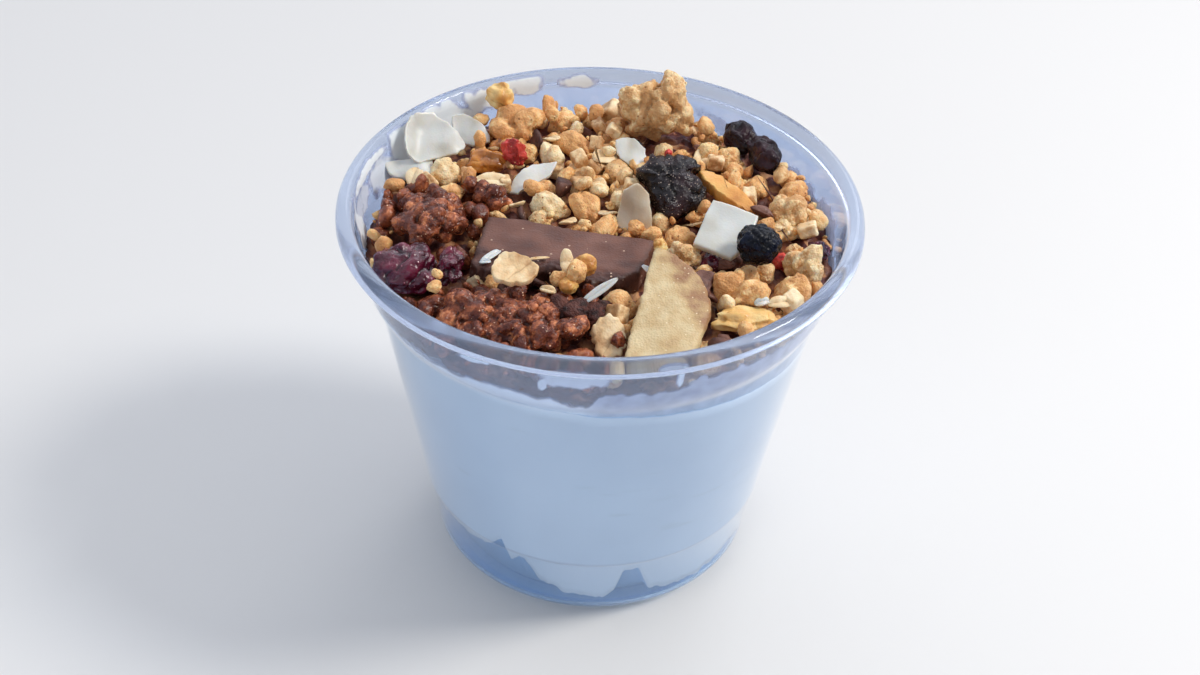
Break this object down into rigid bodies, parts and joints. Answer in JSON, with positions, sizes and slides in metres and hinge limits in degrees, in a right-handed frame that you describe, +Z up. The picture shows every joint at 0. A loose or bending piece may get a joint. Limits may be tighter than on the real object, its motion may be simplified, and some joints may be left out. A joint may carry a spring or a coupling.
{
  "type": "cup of yogurt with cereal",
  "caption": "Clear tapered cup filled with yogurt and heaped with granola, chocolate, dried fruit and coconut.",
  "frame": {"origin": "centre of the cup's foot, on the surface it stands on", "axes": "+Z up along the cup's axis; -Y is the side the picture looks from; +X to its right"},
  "size_m": [0.098, 0.098, 0.0845],
  "materials": {
    "clear_cup": "clear thin plastic with a faint blue cast",
    "yogurt": "smooth, soft sheen, cool white",
    "granola": "toasted oat clusters, dry and rough",
    "milk_chocolate": "milk chocolate with a light bloom",
    "crisps": "puffed crisps stuck in glossy chocolate",
    "cranberry": "sticky wrinkled dried fruit",
    "prune": "dark wrinkled dried fruit with sugar specks",
    "raisin": "dark wrinkled raisin",
    "blueberry": "dried, near black, finely wrinkled",
    "coconut": "white coconut chip",
    "banana": "dried fruit slice, cream with browner edges",
    "mango": "yellow-orange dried fruit and corn flake",
    "amber": "translucent golden raisin",
    "oat": "pale toasted oat and corn flake",
    "red_fruit": "freeze-dried red fruit"
  },
  "bodies": {
    "root": {"cup": "clear_cup", "yogurt": "yogurt", "cereal_heap": "granola", "chocolate_slab": "milk_chocolate", "chocolate_chunk": "milk_chocolate", "crisp_cluster_front": "crisps", "crisp_cluster_left": "crisps", "crisp_cluster_small": "crisps", "granola_cluster_back": "granola", "granola_cluster_left": "granola", "granola_lump_right": "granola", "granola_lump_corner": "granola", "granola_lump_far": "granola", "granola_lump_edge": "granola", "granola_lump_middle": "granola", "cranberry_left": "cranberry", "cranberry_lobe": "cranberry", "cranberry_right": "cranberry", "prune_piece": "prune", "raisin_back": "raisin", "raisin_side": "raisin", "blueberry": "blueberry", "coconut_chip_wall": "coconut", "coconut_chip_left": "coconut", "coconut_chip_back": "coconut", "coconut_chip_middle": "coconut", "coconut_chip_upright": "coconut", "coconut_chip_small": "coconut", "coconut_square": "coconut", "mango_strip": "mango", "corn_flake_right": "mango", "yellow_fruit": "mango", "corn_flake_front": "oat", "oat_flake": "oat", "banana_chip": "banana", "golden_raisin": "amber", "red_fruit": "red_fruit"}
  },
  "joints": []
}
